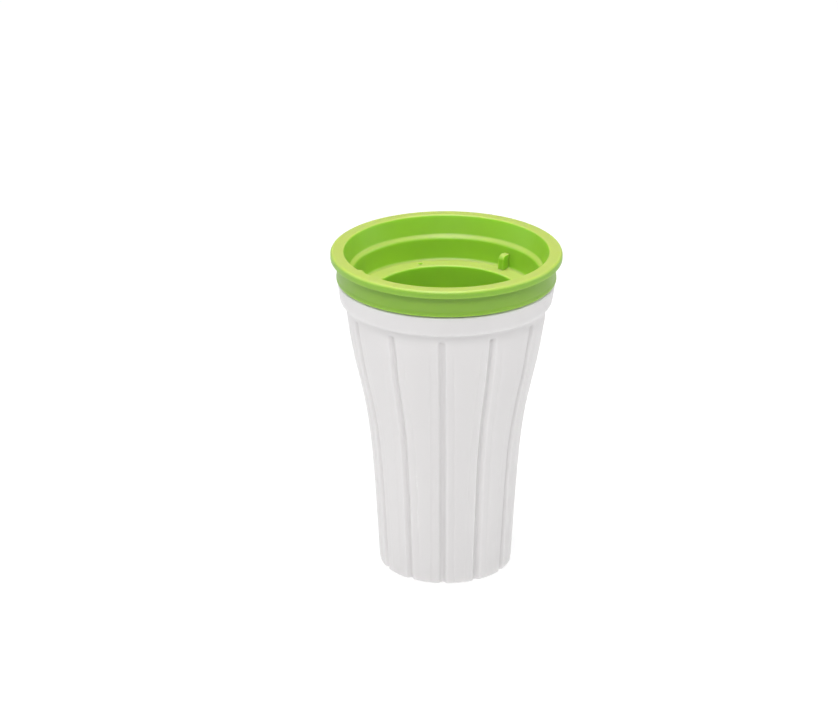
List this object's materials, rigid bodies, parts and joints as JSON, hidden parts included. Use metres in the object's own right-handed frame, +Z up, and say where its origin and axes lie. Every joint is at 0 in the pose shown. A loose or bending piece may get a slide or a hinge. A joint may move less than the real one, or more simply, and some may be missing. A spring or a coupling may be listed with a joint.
{
  "type": "paw washer cup",
  "caption": "Fluted cup with a stepped ring that turns in its mouth and carries a lift-out cage of soft bristles for washing a pet's paw.",
  "frame": {"origin": "centre of the base pad's lower face, on the surface that the cup stands on", "axes": "+Z up along the cup's axis, front towards -Y, +X to the right as seen from the front"},
  "size_m": [0.1, 0.1, 0.146],
  "materials": {
    "cup_white": "satin moulded polypropylene",
    "ring_green": "satin moulded polypropylene",
    "cage_green": "satin moulded polypropylene",
    "brush_silicone": "soft translucent silicone",
    "bearing_white": "smooth acetal",
    "gasket_clear": "matt silicone sheet",
    "clip_steel": "stainless spring steel",
    "pad_grey": "matt thermoplastic rubber"
  },
  "bodies": {
    "cup": {"outer_cup": "cup_white", "base_pad": "pad_grey"},
    "bearing": {"lock_ring": "bearing_white", "mouth_gasket": "gasket_clear"},
    "brush_unit": {"top_ring": "ring_green", "retaining_clip": "clip_steel", "brush_cage": "cage_green", "cage_floor": "cage_green", "sole_pad": "brush_silicone", "brush_strip_1": "brush_silicone", "brush_strip_2": "brush_silicone", "brush_strip_3": "brush_silicone", "brush_strip_4": "brush_silicone", "brush_strip_5": "brush_silicone", "brush_strip_6": "brush_silicone", "brush_strip_7": "brush_silicone", "brush_strip_8": "brush_silicone"}
  },
  "joints": [
    {"name": "brush_unit_lift", "type": "slide", "parent": "cup", "child": "bearing", "axis": [0, 0, 1], "range_m": [0, 0.125]},
    {"name": "ring_turn", "type": "hinge", "parent": "bearing", "child": "brush_unit", "pos_m": [0, 0, 0.1315], "axis": [0, 0, 1], "continuous": true}
  ]
}
